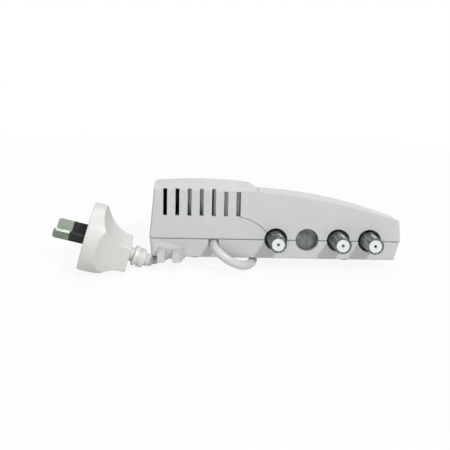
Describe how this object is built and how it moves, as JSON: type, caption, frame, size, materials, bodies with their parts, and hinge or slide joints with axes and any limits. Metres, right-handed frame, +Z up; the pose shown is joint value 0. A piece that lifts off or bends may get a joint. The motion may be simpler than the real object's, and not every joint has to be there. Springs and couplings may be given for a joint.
{
  "type": "tv signal amplifier",
  "caption": "Mains-powered indoor television distribution amplifier: off-white plastic case with a raised, vented transformer end, a row of threaded coaxial sockets and a moulded mains lead.",
  "frame": {"origin": "centre of the footprint of the amplifier without its cord, on the surface its feet stand on", "axes": "+X to the right along the socket wall, seen from the sockets; -Y out of the socket wall, the way the sockets point; +Z up"},
  "size_m": [0.1975, 0.1584, 0.0502],
  "materials": {
    "case_plastic": "fine moulded texture, satin",
    "foot_rubber": "matte",
    "screw_steel": "zinc plated",
    "screen_sheet": "dull tin plate",
    "circuit_board": "lacquered laminate",
    "nickel": "bright nickel plate",
    "dielectric": "smooth, slightly waxy",
    "contact_metal": "dull",
    "ferrite": "matte ceramic",
    "component_black": "moulded epoxy",
    "component_tan": "sintered ceramic",
    "core_steel": "varnished laminations",
    "bobbin_plastic": "satin",
    "winding_copper": "enamelled wire",
    "capacitor_sleeve": "shrink sleeve",
    "heat_sink_aluminium": "plain sheet",
    "fuse_glass": "clear",
    "clip_steel": "bright spring steel",
    "clamp_plastic": "satin",
    "cord_pvc": "smooth satin sheath",
    "wire_insulation": "satin",
    "plug_pvc": "smooth moulded, soft sheen",
    "pin_brass": "nickel worn, dull",
    "sleeve_plastic": "matte black"
  },
  "bodies": {
    "root": {"transformer_cover": "case_plastic", "main_cover": "case_plastic", "lower_shell": "case_plastic", "rubber_feet": "foot_rubber", "case_screws": "screw_steel", "rf_box": "screen_sheet", "rf_box_lid": "screen_sheet", "rf_box_screws": "screw_steel", "rf_board": "circuit_board", "input_connector": "nickel", "output_connector_1": "nickel", "output_connector_2": "nickel", "connector_insulators": "dielectric", "connector_contacts": "contact_metal", "connector_washers": "nickel", "connector_nuts": "nickel", "ferrite_cores": "ferrite", "rf_transistors": "component_black", "rf_capacitors": "component_tan", "transformer_core": "core_steel", "transformer_screen": "screen_sheet", "transformer_screws": "screw_steel", "transformer_bobbin": "bobbin_plastic", "primary_winding": "winding_copper", "secondary_winding": "winding_copper", "power_board": "circuit_board", "power_board_screws": "screw_steel", "filter_capacitor": "capacitor_sleeve", "rectifier_diodes": "component_black", "voltage_regulator": "component_black", "heat_sink": "heat_sink_aluminium", "fuse": "fuse_glass", "fuse_clips": "clip_steel", "cord_clamp": "clamp_plastic", "clamp_screws": "screw_steel", "cord_inner_end": "cord_pvc", "mains_wiring": "wire_insulation", "secondary_wiring": "wire_insulation", "cord_lead": "cord_pvc", "cord_coil": "cord_pvc", "cord_tail": "cord_pvc", "plug_body": "plug_pvc", "plug_pins": "pin_brass", "pin_sleeves": "sleeve_plastic", "plug_strain_relief": "plug_pvc"}
  },
  "joints": []
}
